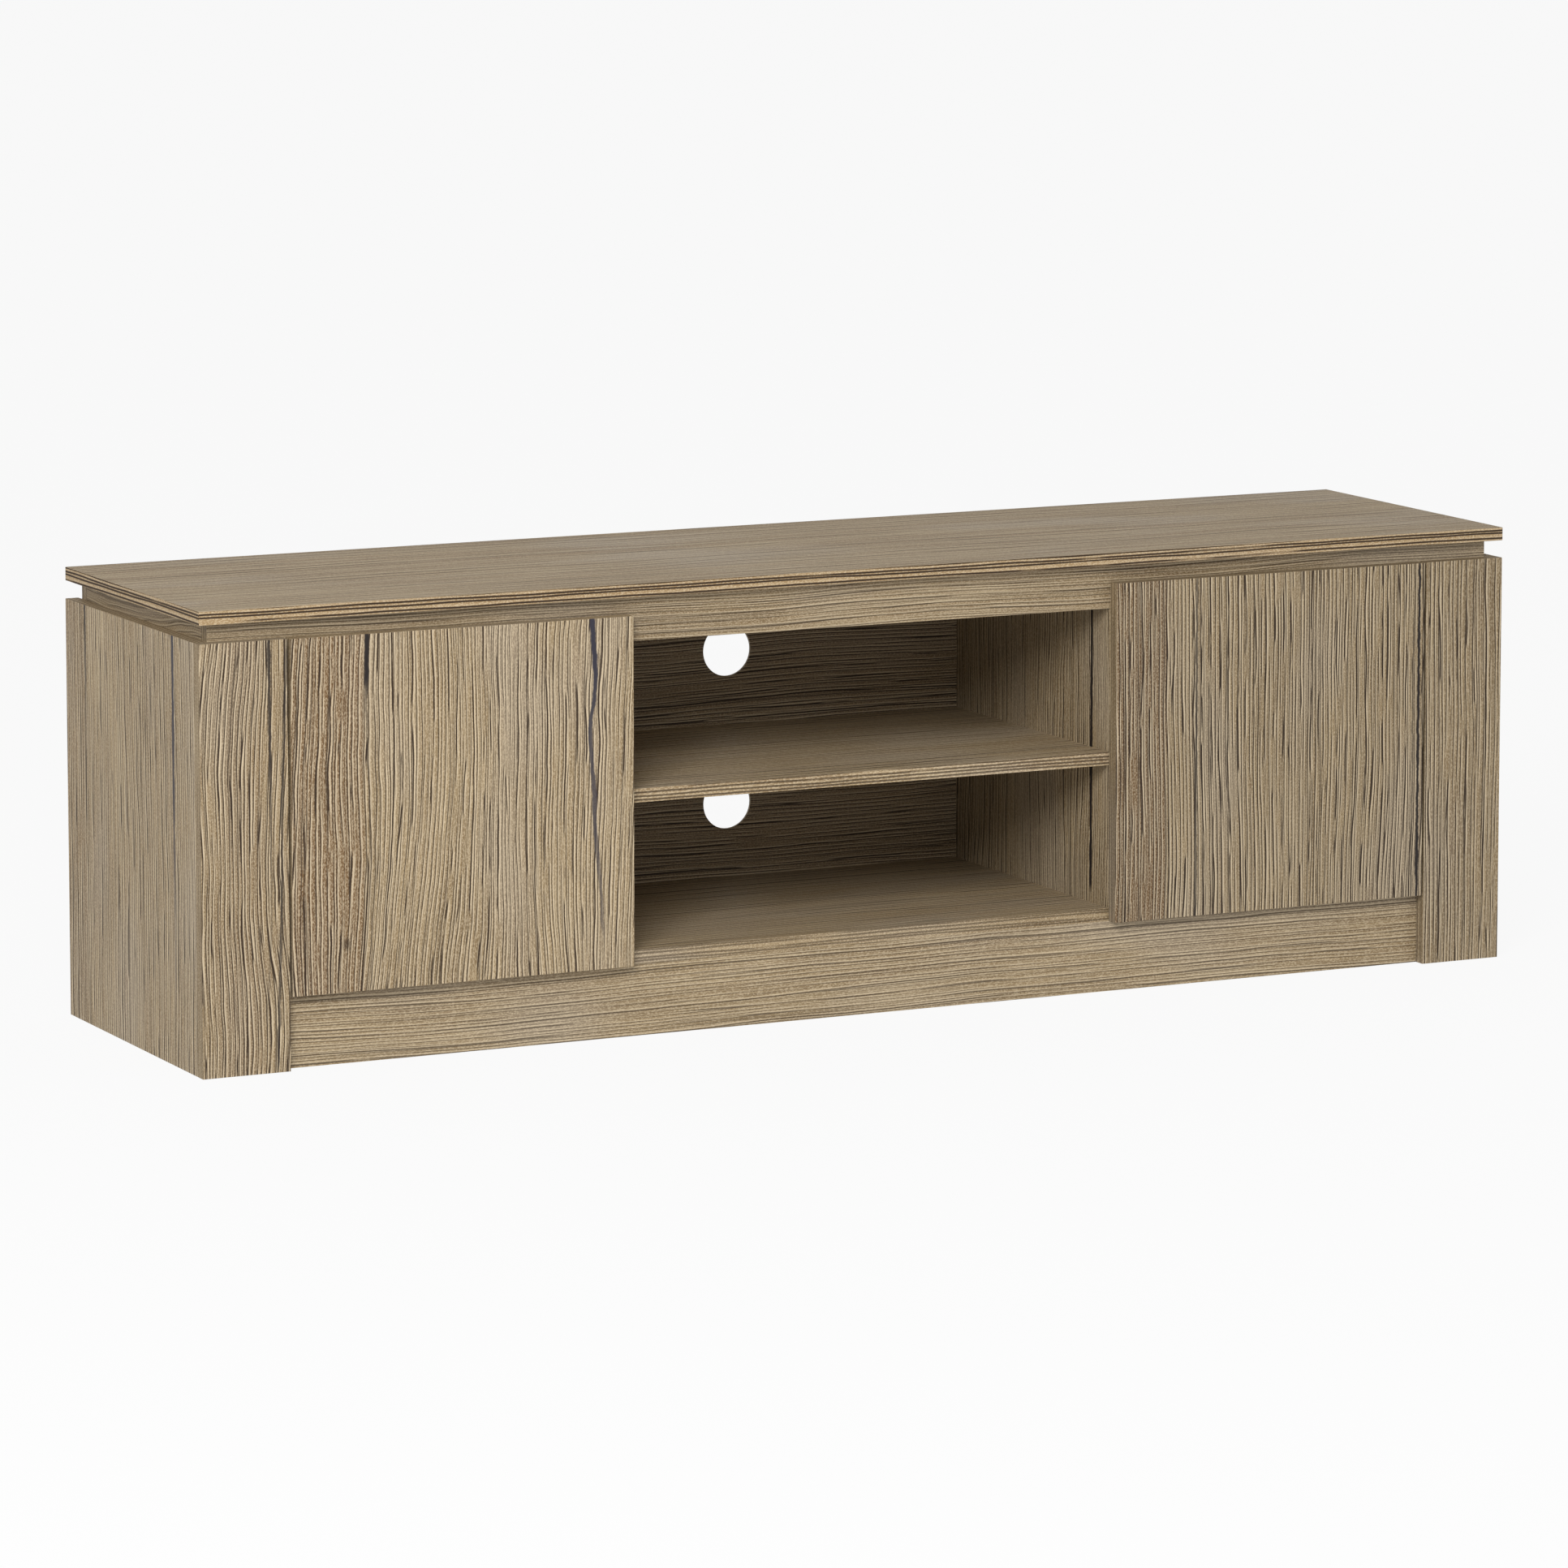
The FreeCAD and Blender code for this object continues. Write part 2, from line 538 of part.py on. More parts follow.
# ------------------------------------------------------------- doors and hinges
DOOR_BACK = add(FRONT, BOARD)
CUP_X = add(DOOR_OUTER, size("cup_edge"), size("cup_radius"))
CUP_FLOOR = less(DOOR_BACK, size("cup_depth"))
FLANGE_FACE = add(DOOR_BACK, size("flange_thick"))
HINGE_LEVELS = [add(BOTTOM_UNDER, size("hinge_inset")), less(SIDE_TOP, size("hinge_inset"))]
SENSES = (-1, 1)


def at_hinges(name, source):
    """The same hinge piece at both hinge levels of the left door."""
    links = []
    for index, level in enumerate(HINGE_LEVELS):
        link = doc.addObject("App::Link", f"{name}_{index}")
        link.LinkedObject = source
        links.append(place(link, 0, 0, level))
    return group(f"{name}_set", links)


def screw(name, seat, direction, head_sense):
    """A pan-head screw: the shank goes along direction, the head stands behind the seat."""
    shank = rod(f"{name}_shank", size("hinge_screw_radius"), size("hinge_screw_length"),
                seat, direction)
    head = rod(f"{name}_head", size("hinge_screw_head_radius"), size("hinge_screw_head"),
               seat, direction * head_sense)
    return fuse(name, [shank, head]), shank


cup_outer = rod("cup_outer", size("cup_radius"), size("cup_depth"), (CUP_X, CUP_FLOOR, 0), Y)
cup_rim = rod("cup_rim", add(size("cup_radius"), size("flange_rim")), size("flange_thick"),
              (CUP_X, DOOR_BACK, 0), Y)
cup_flange = block("cup_flange",
                   (less(CUP_X, half(size("flange_wide"))), DOOR_BACK,
                    flip(half(size("flange_tall")))),
                   (add(CUP_X, half(size("flange_wide"))), FLANGE_FACE,
                    half(size("flange_tall"))))
cup_hollow = rod("cup_hollow", less(size("cup_radius"), size("cup_wall")),
                 add(size("cup_depth"), size("flange_thick")),
                 (CUP_X, add(CUP_FLOOR, size("cup_wall")), 0), Y)
cup_screws = []
cup_screw_bores = []
for sense in SENSES:
    seat = (CUP_X, FLANGE_FACE, f"{sense} * {half(size('hinge_screw_pitch'))}")
    made, bore = screw(f"cup_screw_{sense + 1}", seat, Y * -1, -1)
    cup_screws.append(made)
    cup_screw_bores.append(bore)
cup = cut("cup_cut", fuse("cup_blank", [cup_outer, cup_rim, cup_flange]),
          group("cup_cuts", [cup_hollow] + cup_screw_bores))
cup_bore = rod("cup_bore", add(size("cup_radius"), size("fit_play")), size("cup_depth"),
               (CUP_X, CUP_FLOOR, 0), Y)
door_cuts = group("door_cuts", [cup_bore] + cup_screw_bores)

door_body, door_pad = outline_body("door_board", [
    (DOOR_OUTER, BOTTOM_UNDER), (DOOR_INNER, BOTTOM_UNDER),
    (DOOR_INNER, SIDE_TOP), (DOOR_OUTER, SIDE_TOP)], BOARD, "XZ_Plane")
ease(door_body, door_pad, "door_board")
place(door_body, 0, DOOR_BACK, 0)
pair("door", cut("door_cut", door_body, at_hinges("door_bores", door_cuts)))
pair("hinge_cups", at_hinges("hinge_cups", cup))
pair("cup_screws", at_hinges("cup_screws", group("cup_screw_pair", cup_screws)))

# Mounting plate on the post's face and the cranked channel arm that it carries.
PLATE_FACE = add(STILE_INNER, size("plate_thick"))
PLATE_FRONT = add(CARCASS_FRONT, size("plate_setback"))
PLATE_REAR = add(PLATE_FRONT, size("plate_long"))
WING_FRONT = add(PLATE_FRONT, size("wing_start"))
WING_REAR = add(WING_FRONT, size("wing_long"))
WING_FACE = add(STILE_INNER, size("wing_thick"))
plate_block = block("plate_block",
                    (STILE_INNER, PLATE_FRONT, flip(half(size("plate_tall")))),
                    (PLATE_FACE, PLATE_REAR, half(size("plate_tall"))))
plate_wing = block("plate_wing",
                   (STILE_INNER, WING_FRONT, flip(half(size("wing_tall")))),
                   (WING_FACE, WING_REAR, half(size("wing_tall"))))
plate_screws = []
plate_screw_bores = []
for sense in SENSES:
    seat = (WING_FACE, half(add(WING_FRONT, WING_REAR)),
            f"{sense} * {half(size('plate_screw_pitch'))}")
    made, bore = screw(f"plate_screw_{sense + 1}", seat, X * -1, -1)
    plate_screws.append(made)
    plate_screw_bores.append(bore)
plate_tools = group("plate_screw_bores", plate_screw_bores)
plate = cut("plate_cut", fuse("plate_blank", [plate_block, plate_wing]), plate_tools)
pair("hinge_plates", at_hinges("hinge_plates", plate))
post = block("post_board", (POST_LEFT, CARCASS_FRONT, BOTTOM_TOP),
             (STILE_INNER, POST_REAR, RAIL_UNDER))
post_tools = group("post_cuts", [holes("post", "stile_post", "post_bottom", "post_rail"),
                                 at_hinges("post_screw_bores", plate_tools)])
pair("hinge_post", cut("post_cut", post, post_tools))
pair("plate_screws", at_hinges("plate_screws", group("plate_screw_pair", plate_screws)))

NOSE_LOW = add(DOOR_OUTER, size("nose_low"))
NOSE_HIGH = add(DOOR_OUTER, size("nose_high"))
NOSE_TIP = add(FRONT, size("nose_tip"))
NOSE_ROOT = add(FRONT, size("nose_root"))
ARM_FACE = add(PLATE_FACE, size("arm_body"))
ARM_REAR = add(PLATE_FRONT, size("arm_long"))
WALL = size("arm_wall")
arm_solid, _ = outline_body("arm_solid", [
    (NOSE_LOW, NOSE_TIP), (NOSE_HIGH, NOSE_TIP), (NOSE_HIGH, NOSE_ROOT),
    (ARM_FACE, PLATE_FRONT), (ARM_FACE, ARM_REAR), (PLATE_FACE, ARM_REAR),
    (PLATE_FACE, PLATE_FRONT), (NOSE_LOW, NOSE_ROOT)], size("arm_tall"))
place(arm_solid, 0, 0, flip(half(size("arm_tall"))))
arm_hollow, _ = outline_body("arm_hollow", [
    (less(NOSE_LOW, BOARD), less(NOSE_TIP, WALL)), (less(NOSE_HIGH, WALL), less(NOSE_TIP, WALL)),
    (less(NOSE_HIGH, WALL), less(NOSE_ROOT, WALL)), (less(ARM_FACE, WALL), less(PLATE_FRONT, WALL)),
    (less(ARM_FACE, WALL), add(ARM_REAR, WALL)), (less(PLATE_FACE, WALL), add(ARM_REAR, WALL)),
    (less(PLATE_FACE, BOARD), less(PLATE_FRONT, WALL))], less(size("arm_tall"), WALL, WALL))
place(arm_hollow, 0, 0, less(WALL, half(size("arm_tall"))))
arm_channel = cut("arm_channel", arm_solid, arm_hollow)
adjusters = []
for index, y in enumerate((add(PLATE_FRONT, size("adjuster_front")),
                           less(ARM_REAR, size("adjuster_rear")))):
    adjusters.append(rod(f"adjuster_{index}", size("adjuster_radius"), size("adjuster_thick"),
                         (ARM_FACE, y, 0), X))
pair("hinge_arms", at_hinges("hinge_arms", arm_channel))
pair("arm_adjusters", at_hinges("arm_adjusters", group("adjuster_pair", adjusters)))

# Clear buffers that keep the closed door off the divider's edge.
buffers = []
for index, z in enumerate((add(BOTTOM_TOP, size("buffer_inset")),
                           less(RAIL_UNDER, size("buffer_inset")))):
    buffers.append(rod(f"buffer_{index}", size("buffer_radius"),
                       size("buffer_thick"), (DIVIDER_MIDDLE, DOOR_BACK, z), Y))
pair("door_buffers", group("door_buffers_group", buffers))

# --------------------------------------------------- fasteners: grouped, both sides
for label, made in (("wood_dowels", dowels), ("cam_discs", cams), ("cam_bolts", cam_bolts),
                    ("back_tacks", tacks)):
    left = group(f"{label}_left_half", made)
    part(group(f"{label}_all", [left, mirror(f"{label}_right_half", left)]), label)

# ------------------------------------------------------------------ test and write
doc.recompute()
faults = [f"{obj.Name} {obj.State}" for obj in doc.Objects
          if "Invalid" in obj.State or "Error" in obj.State]
for obj in parts:
    if obj.Shape.isNull() or not obj.Shape.isValid():
        faults.append(f"{obj.Label} has no valid shape")
if faults:
    raise RuntimeError("; ".join(faults))
os.makedirs("parts", exist_ok=True)
for obj in parts:
    obj.Shape.exportStep(f"parts/{obj.Label}.step")
print(len(parts), "sub-parts written")
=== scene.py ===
"""Low media cabinet with wood-grain doors: camera, light and finishes around the CAD frame."""
import math

import bpy
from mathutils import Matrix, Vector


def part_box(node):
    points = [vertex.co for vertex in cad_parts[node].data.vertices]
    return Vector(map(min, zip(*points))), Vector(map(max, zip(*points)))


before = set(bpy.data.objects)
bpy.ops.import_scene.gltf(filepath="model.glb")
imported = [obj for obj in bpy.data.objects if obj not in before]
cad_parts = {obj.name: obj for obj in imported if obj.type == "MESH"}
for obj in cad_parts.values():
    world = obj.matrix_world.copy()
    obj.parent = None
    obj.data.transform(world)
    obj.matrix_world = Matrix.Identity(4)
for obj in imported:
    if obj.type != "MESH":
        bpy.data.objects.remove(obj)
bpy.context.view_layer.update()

# ---------------------------------------------------------------- camera and light
SENSOR = 36.0
CAMERA_PLACE = (-3.55651, -7.24592, 1.55239)
CAMERA_PITCH = 0.1293
CAMERA_YAW = 0.4542
CAMERA_LENS = 166.56
CAMERA_SHIFT = -0.153
FAR_CLIP = 200
KEY = {"name": "key", "place": (-3.0, -4.2, 3.0), "target": (-0.3, 0, 0.25), "size": 2.2,
       "power": 260}
FILL = {"name": "fill", "place": (4.5, -4.0, 2.2), "target": (0.2, 0, 0.25), "size": 3.0,
        "power": 20}


def put_camera():
    data = bpy.data.cameras.new("camera")
    data.sensor_width = SENSOR
    data.lens = CAMERA_LENS
    data.shift_y = CAMERA_SHIFT
    data.clip_end = FAR_CLIP
    camera = bpy.data.objects.new("camera", data)
    camera.location = CAMERA_PLACE
    camera.rotation_euler = (math.pi / 2 - CAMERA_PITCH, 0, -CAMERA_YAW)
    bpy.context.scene.collection.objects.link(camera)
    bpy.context.scene.camera = camera


def put_light(name, place, target, size, power):
    """A soft square lamp that looks at a target point."""
    data = bpy.data.lights.new(name, "AREA")
    data.size = size
    data.energy = power
    lamp = bpy.data.objects.new(name, data)
    lamp.location = place
    aim = [goal - start for goal, start in zip(target, place)]
    run = math.hypot(aim[0], aim[1])
    lamp.rotation_euler = (math.atan2(run, -aim[2]), 0, math.atan2(aim[1], aim[0]) - math.pi / 2)
    bpy.context.scene.collection.objects.link(lamp)


put_camera()
put_light(**KEY)
put_light(**FILL)


# ------------------------------------------------------------------- shader maths
class Value:
    """A number socket that takes part in Python arithmetic."""

    def __init__(self, tree, socket):
        self.tree = tree
        self.socket = socket

    def math(self, operation, *others):
        node = self.tree.nodes.new("ShaderNodeMath")
        node.operation = operation
        for index, item in enumerate((self, *others)):
            if isinstance(item, Value):
                self.tree.links.new(item.socket, node.inputs[index])
            else:
                node.inputs[index].default_value = item
        return Value(self.tree, node.outputs[0])

    def __add__(self, other):
        return self.math("ADD", other)

    __radd__ = __add__

    def __sub__(self, other):
        return self.math("SUBTRACT", other)

    def __rsub__(self, other):
        return (self * -1).math("ADD", other)

    def __mul__(self, other):
        return self.math("MULTIPLY", other)

    __rmul__ = __mul__

    def __truediv__(self, other):
        return self.math("DIVIDE", other)

    def __abs__(self):
        return self.math("ABSOLUTE")

    def __pow__(self, other):
        return self.math("POWER", other)

    def highest(self, other):
        return self.math("MAXIMUM", other)


class Finish:
    """One material: its Principled shader and the maths that feeds it."""

    def __init__(self, name):
        self.material = bpy.data.materials.new(name)
        self.material.use_nodes = True
        self.tree = self.material.node_tree
        self.shader = self.tree.nodes["Principled BSDF"]

    def node(self, kind, settings=None, sockets=None):
        """Any node: its settings first, then the values or links of its sockets."""
        node = self.tree.nodes.new(kind)
        for key, value in (settings or {}).items():
            if key == "stops":
                self.set_stops(node.color_ramp, value)
            elif key == "interpolation":
                node.color_ramp.interpolation = value
            else:
                setattr(node, key, value)
        for key, value in (sockets or {}).items():
            if isinstance(value, Value):
                self.tree.links.new(value.socket, node.inputs[key])
            else:
                node.inputs[key].default_value = value
        return node

    def set_stops(self, ramp, stops):
        while len(ramp.elements) > 1:
            ramp.elements.remove(ramp.elements[-1])
        ramp.elements[0].position = stops[0][0]
        ramp.elements[0].color = as_colour(stops[0][1])
        for place, colour in stops[1:]:
            ramp.elements.new(place).color = as_colour(colour)

    def out(self, node, output=0):
        return Value(self.tree, node.outputs[output])

    def axes(self, output="Object"):
        """The three object coordinates, or the three parts of the object normal."""
        place = self.out(self.node("ShaderNodeTexCoord"), output)
        parts = self.node("ShaderNodeSeparateXYZ", None, {0: place})
        return [self.out(parts, index) for index in range(3)]

    def vector(self, x, y, z):
        return self.out(self.node("ShaderNodeCombineXYZ", None, {0: x, 1: y, 2: z}))

    def noise(self, place, detail=2.0, roughness=0.5):
        """Noise from 0 to 1 about the middle, one cell to the unit of place."""
        return self.out(self.node("ShaderNodeTexNoise", {"noise_dimensions": "3D"}, {
            "Vector": place, "Scale": 1.0, "Detail": detail, "Roughness": roughness}))

    def field(self, cross, run, cells, shift, level, detail=2.0, roughness=0.5):
        """Noise drawn out along the grain. cells: its cells to the metre, across and along."""
        place = self.vector(cross * cells[0] + shift, level, run * cells[1])
        return self.noise(place, detail, roughness)

    def smooth(self, value, low, high):
        """A smooth step from 0 to 1 as value goes from low to high."""
        return self.out(self.node("ShaderNodeMapRange", {"interpolation_type": "SMOOTHSTEP"}, {
            "Value": value, "From Min": low, "From Max": high}))

    def ramp(self, value, stops):
        return self.out(self.node("ShaderNodeValToRGB", {
            "stops": stops, "interpolation": "EASE"}, {"Fac": value}))

    def mix(self, factor, first, second, blend="MIX"):
        node = self.node("ShaderNodeMix", {"data_type": "RGBA", "blend_type": blend}, {
            0: factor, 6: self.colour(first), 7: self.colour(second)})
        return self.out(node, 2)

    def colour(self, item):
        return item if isinstance(item, Value) else as_colour(item)

    def feed(self, **inputs):
        """Set or link sockets of the Principled shader, spaces written as underscores."""
        for key, value in inputs.items():
            socket = self.shader.inputs[key.replace("_", " ")]
            if isinstance(value, Value):
                self.tree.links.new(value.socket, socket)
            else:
                socket.default_value = value

    def bump(self, height, strength, distance):
        self.feed(Normal=self.out(self.node("ShaderNodeBump", None, {
            "Height": height, "Strength": strength, "Distance": distance})))


def linear(channel):
    channel = channel / 255
    return channel / 12.92 if channel <= 0.04045 else ((channel + 0.055) / 1.055) ** 2.4


def as_colour(item):
    """A display colour of three 0-255 numbers, or one grey from 0 to 1, as RGBA."""
    if isinstance(item, (int, float)):
        return (item, item, item, 1.0)
    return tuple(linear(channel) for channel in item) + (1.0,)


# ------------------------------------------------------------------------ wood
PORE = (44, 30, 16)
CREAM = (206, 188, 158)
LIGHT = (161, 142, 111)
MIDDLE = (138, 118, 87)
DARK = (111, 90, 60)
GREY = (146, 133, 116)
WARM = (93, 64, 31)
GOLDEN = (142, 115, 76)
HARDBOARD = (120, 94, 66)
FIBRE = (141, 115, 85)
CRACK = (30, 24, 22)
CRACK_BLUE = (46, 44, 54)
AXIS = {"x": 0, "y": 1, "z": 2}

# Bend of the grain, and the share of it that edges take.
WANDER_REACH = 0.05
SWING_REACH = 0.004
EDGE_BEND = 0.3

# Noise fields: cells to the metre, across and along the grain.
WANDER = (6, 2.6)
SWING = (22, 16)
STREAK = (260, 10)
FLECK = (950, 420)
CLOUD = (14, 4.2)
CHILL = (9, 3.4)
STRIPE = (75, 1.7)

# The plane of its noise that each field with no seed in it is cut from, and a shift
# that keeps the cool patches clear of the clouds.
SWING_LEVEL = 4.4
CLOUD_LEVEL = 2.0
CHILL_LEVEL = 6.0
CHILL_SHIFT = 5

# Steps: where an effect starts, and where it is full. The first two are parts of the
# normal, the next four are noise levels, the last is a share of the knot's radius.
FACING = (0.6, 0.75)
REAR_FACING = (0.2, 0.6)
CHILL_STEP = (0.46, 0.7)
STRIPE_STEP = (0.48, 0.66)
FLECK_STEP = (0.42, 0.66)
FIBRE_STEP = (0.34, 0.66)
KNOT_STEP = (0.3, 1.4)

# Shares of each field in the ground tone and in the hardboard.
STREAK_SHARE = 0.55
CLOUD_SHARE = 0.45
CHILL_SHARE = 0.6
FLECK_SHARE = 0.42
FIBRE_CLOUD = 0.3
FIBRE_STREAK = 0.3
FIBRE_FLECK = 0.4
TONE_STOPS = [(0.32, DARK), (0.5, MIDDLE), (0.68, LIGHT)]

# A plank's soft edge, and the part of its darkness that clouds do not change.
PLANK_EDGE = 0.004
PLANK_LEAST = 0.5

# Grain lines: pitch and half width across the grain, shift of the seed, dash
# length, and the noise level above which a dash is there.
FINE_LINES = (0.0023, 0.00048, 3, 0.07, 0.45)
MAIN_LINES = (0.0049, 0.00078, 0, 0.085, 0.42)
DEEP_LINES = (0.0115, 0.0012, 8, 0.09, 0.51)
EDGE_LINES = (0.0043, 0.0015, 5, 0.2, 0.34)
FINE_DEPTH = 0.5
MAIN_DEPTH = 0.75
DEEP_DEPTH = 0.95
# Painted highlight: how pale it is beside the fine pores and beside the edge pores, and the
# strength of all of it.
FINE_HIGHLIGHT = 0.5
EDGE_HIGHLIGHT = 0.35
HIGHLIGHT_STRENGTH = 0.6

# A line in its strip: its first place and how far chance and sway move it, in
# shares of the pitch, with the cells of the sway to the strip and to the metre.
SEED_STRIPS = 7.3
LINE_PLACE = 0.25
LINE_CHANCE = 0.5
LINE_SWAY = 0.7
SWAY_CELLS = (5.7, 9)

# A dash on its line: the cells of its noise to the strip and their shift, the part
# that chance has in it, and how the noise level fades about the gap.
DASH_CELLS = 3.3
DASH_SHIFT = 11
DASH_CHANCE = 0.16
DASH_FADE = (-0.07, 0.05)

# The pore's dark core, and the middle, core and end of the painted highlight beside it, in half
# widths.
PORE_CORE = 0.35
HIGHLIGHT_PLACE = 1.7
HIGHLIGHT_CORE = 0.3
HIGHLIGHT_END = 1.1

# Cracks: sideways reach of the drift and of the jitter, cells and planes of their
# noise, how thin and how wide they get, and the soft rim of the line.
CRACK_SWAY = 0.04
CRACK_JITTER = 0.004
JITTER_CELLS = 60
JITTER_LEVEL = 3.1
SWELL_CELLS = 28
SWELL_LEVEL = 7.7
SWELL_LEAST = 0.25
SWELL_REACH = 1.5
WEAK_WIDTH = 0.3
CRACK_RIM = (0.35, 0.75)
STRAIGHT = [(0, 0.5), (1, 0.5)]
FADED_ENDS = [(0, 0), (0.05, 1), (0.95, 1), (1, 0)]
KNOT_SQUASH = 0.6
KNOT_DEPTH = 0.7

# Relief, in shares of a full pore's depth, and shine.
FINE_RELIEF = 0.25
STREAK_RELIEF = 0.12
CRACK_RELIEF = 1.5
BUMP_STRENGTH = 0.3
BUMP_DEPTH = 0.0005
WOOD_ROUGH = 0.6
HIGHLIGHT_POLISH = 0.08
PORE_ROUGH = 0.15
WOOD_SPECULAR = 0.3


def board_axes(finish, along, face, edge_shift):
    """Coordinates across and along the grain, turned on the edges to follow the strip.

    Returns them with the mask of the two broad faces, and the plain coordinates
    across and along the board.
    """
    place = finish.axes()
    normal = finish.axes("Normal")
    across = [key for key in "xyz" if key not in (along, face)][0]
    u, v, w = (place[AXIS[key]] for key in (across, face, along))
    broad = finish.smooth(abs(normal[AXIS[face]]), *FACING)
    end = finish.smooth(abs(normal[AXIS[along]]), *FACING)
    cross = u * broad + (v + edge_shift) * (1 - broad)
    run = w * (1 - end) + u * end
    return cross, run, broad, u, w


def grain_lines(finish, cross, run, seed, layer):
    """Dark pores and the painted highlights beside them, one to each strip of a layer."""
    pitch, width, seed_shift, length, gap = layer
    seed = seed + seed_shift
    strips = cross / pitch + seed * SEED_STRIPS
    strip = strips.math("FLOOR")
    chance = finish.out(finish.node("ShaderNodeTexWhiteNoise", {"noise_dimensions": "1D"},
                                    {"W": strip}))
    sway = finish.noise(
        finish.vector(strip * SWAY_CELLS[0], run * SWAY_CELLS[1], seed), 1.0)
    centre = LINE_PLACE + chance * LINE_CHANCE + (sway - 0.5) * LINE_SWAY
    off = (strips - strip - centre) * pitch
    patch = finish.noise(
        finish.vector(strip * DASH_CELLS + DASH_SHIFT, run / length, seed), 2.0, 0.6)
    there = finish.smooth(patch + (chance - 0.5) * DASH_CHANCE,
                          gap + DASH_FADE[0], gap + DASH_FADE[1])
    pore = (1 - finish.smooth(abs(off), width * PORE_CORE, width)) * there
    # Painted highlight: a pale line to one side of each pore.
    highlight_line = (1 - finish.smooth(abs(off - width * HIGHLIGHT_PLACE),
                             width * HIGHLIGHT_CORE, width * HIGHLIGHT_END)) * there
    return pore, highlight_line


def wood(name, along, face, seed, pores=1.0, planks=(), cracks=(), tint=0.0, shade_and_tone=1.0,
         lean=0.0, edge_pores=0.5, edge_tint=0.0, rear_plain=False, wave=1.0, coarse=1.0,
         bands=0.12, knots=(), stretch=1.0):
    """Embossed oak-pattern laminate.

    along and face name the axes of the grain and of the board's thickness.
    pores, edge_pores: strength of the grain lines on the faces and on the edges.
    coarse, stretch: how much wider and longer the lines are. wave: how far they bend.
    lean: their slant. bands: strength of the darker lengthwise bands.
    tint, edge_tint: share of grey on the board and of golden brown on its edges.
    planks: (from, to, darkness) across the board. knots: (across, along, radius).
    cracks: dictionaries, see crack_mask. rear_plain: bare hardboard on the rear face.
    """
    finish = Finish(name)
    cross, run, broad, u, w = board_axes(finish, along, face, seed)
    wander = finish.field(cross, run, WANDER, seed, seed, 1.0)
    swing = finish.field(cross, run, SWING, seed, SWING_LEVEL)
    bend = (wander - 0.5) * WANDER_REACH * wave + (swing - 0.5) * SWING_REACH * wave
    bent = cross + run * lean + bend * (EDGE_BEND + (1 - EDGE_BEND) * broad)

    # Ground tone: streaks and clouds, cool patches, darker bands and planks.
    streak = finish.field(bent, run, STREAK, 0, seed, 3.0, 0.65)
    fleck = finish.field(cross, run, FLECK, 0, seed, 1.0)
    cloud = finish.field(cross, run, CLOUD, seed, CLOUD_LEVEL)
    chill = finish.smooth(
        finish.field(cross, run, CHILL, CHILL_SHIFT + seed, CHILL_LEVEL, 1.0), *CHILL_STEP)
    tone = finish.ramp(streak * STREAK_SHARE + cloud * CLOUD_SHARE, TONE_STOPS)
    tone = finish.mix(chill * CHILL_SHARE + tint, tone, GREY)
    stripe = finish.field(bent, run, STRIPE, 0, seed, 2.0, 0.6)
    tone = finish.mix(finish.smooth(stripe, *STRIPE_STEP) * bands, tone, WARM)
    for low, high, darkness in planks:
        band = finish.smooth(u, low - PLANK_EDGE, low + PLANK_EDGE) * (
            1 - finish.smooth(u, high - PLANK_EDGE, high + PLANK_EDGE))
        tone = finish.mix(band * broad * darkness * (PLANK_LEAST + cloud), tone, WARM)
    tone = finish.mix((1 - broad) * edge_tint, tone, GOLDEN)
    tone = finish.mix(finish.smooth(fleck, *FLECK_STEP) * FLECK_SHARE, tone, CREAM)

    # Pores and the painted highlights beside them, in three sizes on the faces and one on the
    # edges.
    across = bent / coarse
    dash = run / stretch
    fine, fine_highlight = grain_lines(finish, across, dash, seed, FINE_LINES)
    pore, highlight_line = grain_lines(finish, across, dash, seed, MAIN_LINES)
    deep, deep_highlight = grain_lines(finish, across, dash, seed, DEEP_LINES)
    edge, edge_highlight = grain_lines(finish, bent, run, seed, EDGE_LINES)
    strong = (pore * MAIN_DEPTH).highest(deep * DEEP_DEPTH) * pores
    strong = strong * broad + edge * edge_pores * (1 - broad)
    # The painted highlights of all the layers; the wood is also a little less rough there.
    painted_highlight = highlight_line.highest(deep_highlight).highest(fine_highlight * FINE_HIGHLIGHT) * pores
    painted_highlight = painted_highlight * broad + edge_highlight * edge_pores * EDGE_HIGHLIGHT * (1 - broad)
    tone = finish.mix(fine * broad * FINE_DEPTH * pores, tone, PORE)
    # Painted highlight: cream beside the pores.
    tone = finish.mix(painted_highlight * HIGHLIGHT_STRENGTH, tone, CREAM)
    tone = finish.mix(strong, tone, PORE)
    height = 1 - strong - fine * FINE_RELIEF + streak * STREAK_RELIEF

    for crack in cracks:
        mask = crack_mask(finish, u, w, crack, seed) * broad
        tone = finish.mix(mask, tone, crack.get("colour", CRACK))
        height = height - mask * CRACK_RELIEF
    for at, level, radius in knots:
        far = ((u - at) ** 2 + ((w - level) * KNOT_SQUASH) ** 2) ** 0.5 / radius
        core = 1 - finish.smooth(far + (streak - 0.5), *KNOT_STEP)
        tone = finish.mix(core * broad * KNOT_DEPTH, tone, PORE)
